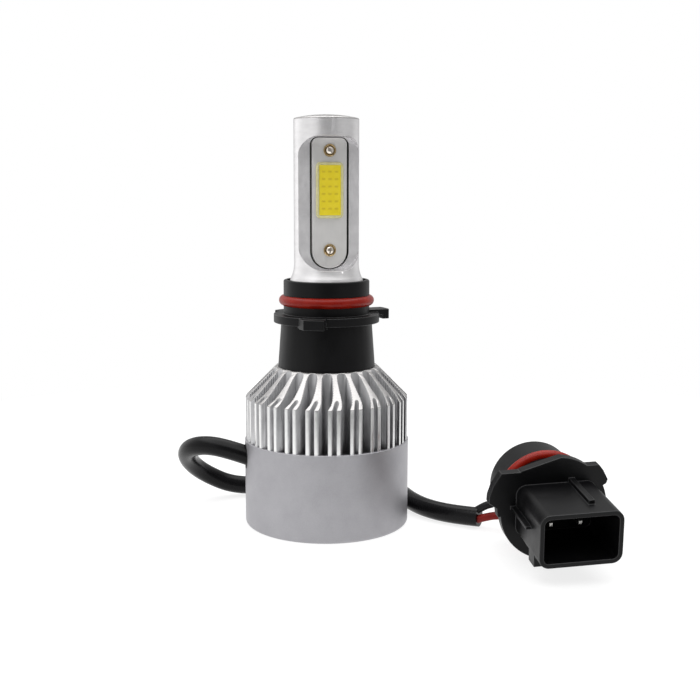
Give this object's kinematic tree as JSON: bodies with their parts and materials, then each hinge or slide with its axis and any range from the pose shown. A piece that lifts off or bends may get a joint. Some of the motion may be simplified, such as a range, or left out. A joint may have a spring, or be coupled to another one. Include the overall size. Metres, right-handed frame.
{
  "type": "LED headlight bulb",
  "caption": "LED headlight bulb: round lamp post with a light panel each side, sealed collar, finned heat sink with fan, and a short cable to a square-mouthed plug.",
  "frame": {"origin": "centre of the fan housing's bottom face, on the lamp's axis", "axes": "+Z along the lamp's axis from the fan to the lamp post's tip; -Y towards the front light panel, which is turned 10 degrees towards +X"},
  "size_m": [0.087, 0.0708, 0.088],
  "materials": {
    "bare_aluminium": "turned and milled, satin",
    "satin_aluminium": "fine blasted, matt",
    "board_aluminium": "matt coated",
    "black_plastic": "moulded, satin",
    "red_silicone": "satin silicone",
    "black_rubber": "satin",
    "black_wire": "satin insulation",
    "red_wire": "satin insulation",
    "phosphor": "yellow silicone gel",
    "white_dam": "cream silicone",
    "brass": "plated, bright",
    "steel": "bright zinc",
    "sintered_metal": "dull grey",
    "copper_wire": "enamelled copper",
    "circuit_board": "green solder mask",
    "component_black": "moulded"
  },
  "bodies": {
    "root": {"lamp_post": "bare_aluminium", "led_board_screws": "brass", "lamp_leads_red": "red_wire", "lamp_leads_black": "black_wire", "collar": "black_plastic", "collar_seal_ring": "red_silicone", "heat_sink": "bare_aluminium", "fan_housing_band": "satin_aluminium", "fan_guard": "black_plastic", "fan_guard_screws": "steel", "fan_frame": "black_plastic", "fan_bearing": "sintered_metal", "stator_core": "steel", "stator_coils": "copper_wire", "fan_circuit_board": "circuit_board", "fan_leads": "red_wire", "driver_board": "circuit_board", "driver_board_screws": "steel", "inductor_core": "sintered_metal", "inductor_coil": "copper_wire", "capacitors": "component_black", "controller_chip": "component_black", "chip_resistors": "component_black", "supply_lead_red": "red_wire", "supply_lead_black": "black_wire", "cable_grommet": "black_rubber", "cable_sheath": "black_rubber", "plug_wire_black": "black_wire", "plug_wire_red": "red_wire", "plug_housing": "black_plastic", "plug_seal_ring": "red_silicone", "plug_terminals": "brass", "plug_rear_seal": "black_rubber", "front_led_board": "board_aluminium", "rear_led_board": "board_aluminium", "front_led_dam": "white_dam", "rear_led_dam": "white_dam", "front_led_phosphor": "phosphor", "rear_led_phosphor": "phosphor"},
    "rotor": {"fan_rotor": "black_plastic", "rotor_yoke": "steel", "rotor_magnet": "sintered_metal", "fan_shaft": "steel", "shaft_clip": "steel"}
  },
  "joints": [
    {"name": "fan_spin", "type": "hinge", "parent": "root", "child": "rotor", "pos_m": [0, 0, 0.005], "axis": [0, 0, 1], "continuous": true}
  ]
}
